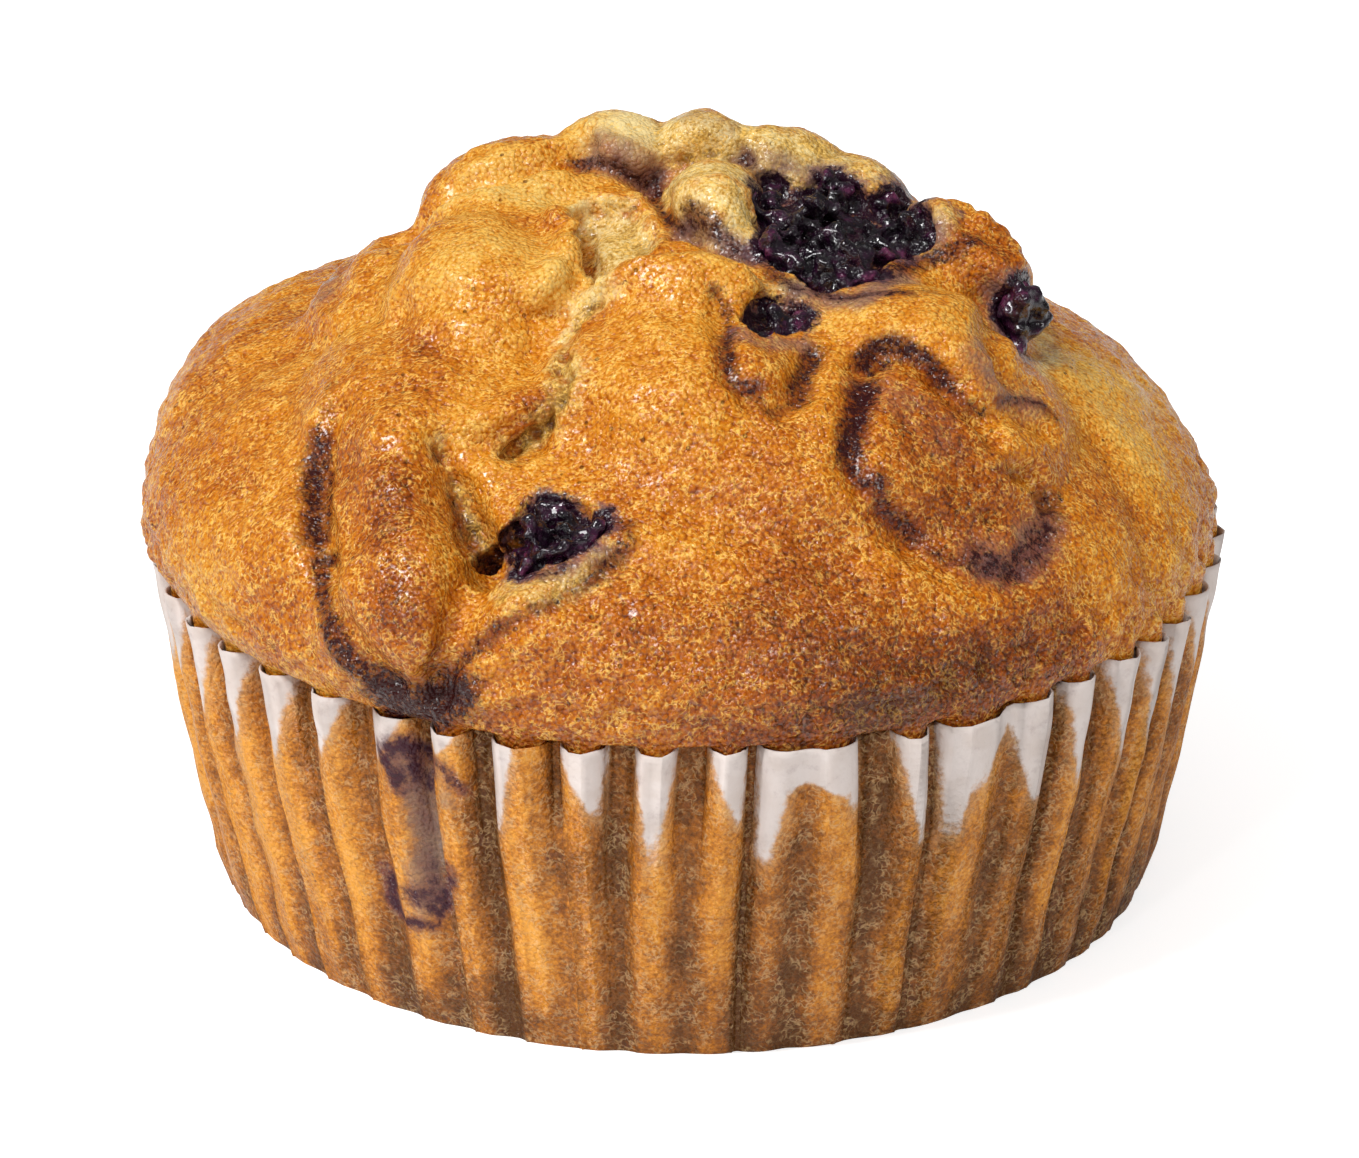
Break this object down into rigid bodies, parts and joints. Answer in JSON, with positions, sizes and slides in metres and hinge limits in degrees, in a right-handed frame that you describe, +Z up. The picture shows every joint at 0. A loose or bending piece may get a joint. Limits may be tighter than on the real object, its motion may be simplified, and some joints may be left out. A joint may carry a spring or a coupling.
{
  "type": "muffin",
  "caption": "Berry muffin with a cracked, domed top that swells over the rim of a pleated paper case.",
  "frame": {"origin": "middle of the paper case's flat floor, on the face that the muffin stands on", "axes": "+Z up through the crown, -Y to the front, which shows the front berry and the main crack, +X to the right"},
  "size_m": [0.0875, 0.0863, 0.0588],
  "materials": {
    "crust": "baked golden-brown cake crust",
    "paper": "greaseproof baking paper, white at the rim and baked tan below",
    "berry": "wet, dark berry pulp"
  },
  "bodies": {
    "root": {"muffin_body": "crust", "paper_case": "paper", "berry_top": "berry", "berry_small": "berry", "berry_right": "berry", "berry_front": "berry"}
  },
  "joints": []
}
